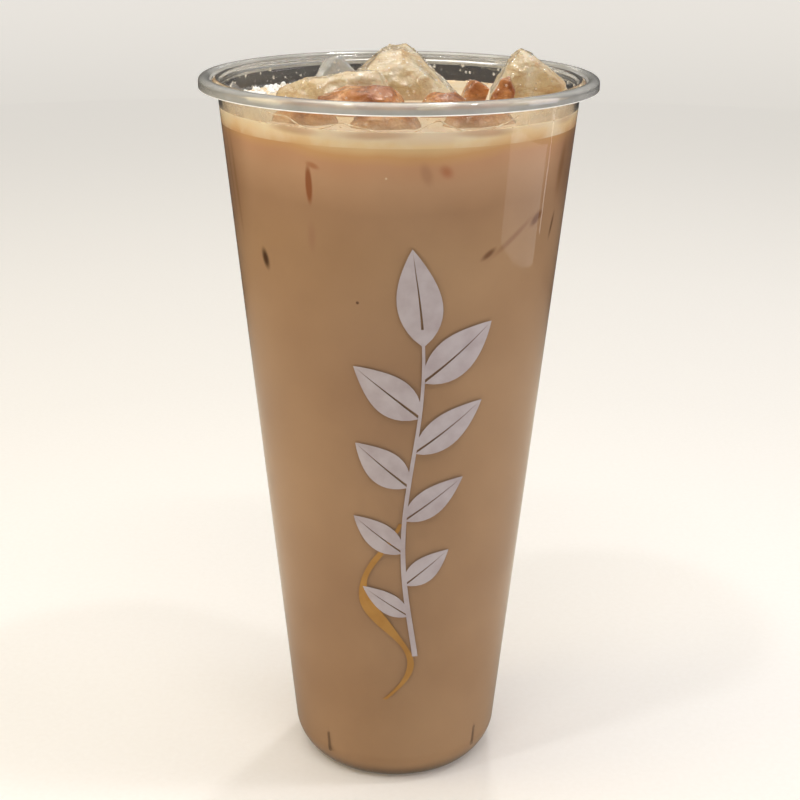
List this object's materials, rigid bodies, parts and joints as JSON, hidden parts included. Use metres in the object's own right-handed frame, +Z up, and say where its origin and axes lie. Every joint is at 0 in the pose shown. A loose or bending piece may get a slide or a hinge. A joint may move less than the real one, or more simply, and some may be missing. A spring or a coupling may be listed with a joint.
{
  "type": "bubble tea",
  "caption": "Iced milk tea in a tall tapered clear plastic cup with a rolled rim and no lid, with rough ice standing out of its pale head.",
  "frame": {"origin": "the middle of the cup's foot ring, on the surface it stands on", "axes": "+Z up along the cup's axis, -Y towards the printed side that the picture shows, +X to the right in the picture"},
  "size_m": [0.095, 0.095, 0.1859],
  "materials": {
    "clear_polypropylene": "clear, glossy, moulded polypropylene",
    "milk_tea": "cloudy liquid",
    "milk_tea_head": "pale creamy head",
    "cream_ice": "wet ice washed with milk",
    "brown_ice": "wet ice stained by tea",
    "clear_ice": "wet clear ice"
  },
  "bodies": {
    "root": {"cup": "clear_polypropylene", "milk_tea": "milk_tea", "milk_tea_head": "milk_tea_head", "ice_peak": "cream_ice", "ice_right": "cream_ice", "ice_slab": "cream_ice", "ice_brown": "brown_ice", "ice_left_wing": "brown_ice", "ice_right_wing": "brown_ice", "ice_middle": "brown_ice", "ice_front": "brown_ice", "ice_front_left": "brown_ice", "ice_front_right": "brown_ice", "ice_back_left": "clear_ice", "ice_sliver": "clear_ice"}
  },
  "joints": []
}
